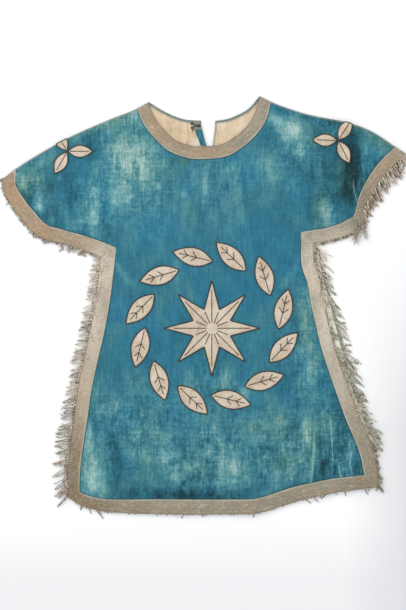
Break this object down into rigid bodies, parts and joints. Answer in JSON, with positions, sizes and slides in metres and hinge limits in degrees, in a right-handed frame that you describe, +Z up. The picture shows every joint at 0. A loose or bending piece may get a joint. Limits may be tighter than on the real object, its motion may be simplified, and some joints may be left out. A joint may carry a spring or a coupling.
{
  "type": "herald's tabard laid flat",
  "caption": "Herald's tabard of blue-green velvet laid flat, with short cape sleeves, woven braid borders, a fringed edge, cream applied ornaments and a back neck opening.",
  "frame": {"origin": "on the surface the garment lies on, under the middle of its bounding box", "axes": "+X to the viewer's right across the garment, +Y from the hem towards the neck, +Z up from the surface, so the front faces +Z"},
  "size_m": [0.855, 0.8575, 0.0144],
  "materials": {
    "velvet": "worn blue-green pile velvet, crushed and faded in patches",
    "lining": "matte cream cotton lining, creased",
    "galloon": "tarnished metal-thread braid, ribbed, dull sheen",
    "fringe": "tarnished twisted thread, curled",
    "applique": "cream woven cloth, slightly soiled, edged with dark cord",
    "hook": "dark tarnished wire"
  },
  "bodies": {
    "root": {"front_panel": "velvet", "front_sleeve_left": "velvet", "front_sleeve_right": "velvet", "back_left": "velvet", "back_right": "velvet", "lining_left": "lining", "lining_right": "lining", "slit_facing": "velvet", "braid_front_hem": "galloon", "braid_front_side_right": "galloon", "braid_front_sleeve_right": "galloon", "braid_front_neck": "galloon", "braid_front_sleeve_left": "galloon", "braid_front_side_left": "galloon", "braid_back_hem": "galloon", "braid_back_side_right": "galloon", "braid_back_sleeve_right": "galloon", "braid_back_neck_left": "galloon", "braid_back_neck_right": "galloon", "braid_back_sleeve_left": "galloon", "braid_back_side_left": "galloon", "fringe_front_side_right": "fringe", "fringe_front_sleeve_right": "fringe", "fringe_front_sleeve_left": "fringe", "fringe_front_side_left": "fringe", "fringe_back_side_right": "fringe", "fringe_back_sleeve_right": "fringe", "fringe_back_sleeve_left": "fringe", "fringe_back_side_left": "fringe", "emblem_star": "applique", "emblem_leaf_1": "applique", "emblem_leaf_2": "applique", "emblem_leaf_3": "applique", "emblem_leaf_4": "applique", "emblem_leaf_5": "applique", "emblem_leaf_6": "applique", "emblem_leaf_7": "applique", "emblem_leaf_8": "applique", "emblem_leaf_9": "applique", "emblem_leaf_10": "applique", "emblem_leaf_11": "applique", "emblem_leaf_12": "applique", "sprig_left_1": "applique", "sprig_left_2": "applique", "sprig_left_3": "applique", "sprig_right_1": "applique", "sprig_right_2": "applique", "sprig_right_3": "applique", "hook": "hook"}
  },
  "joints": []
}
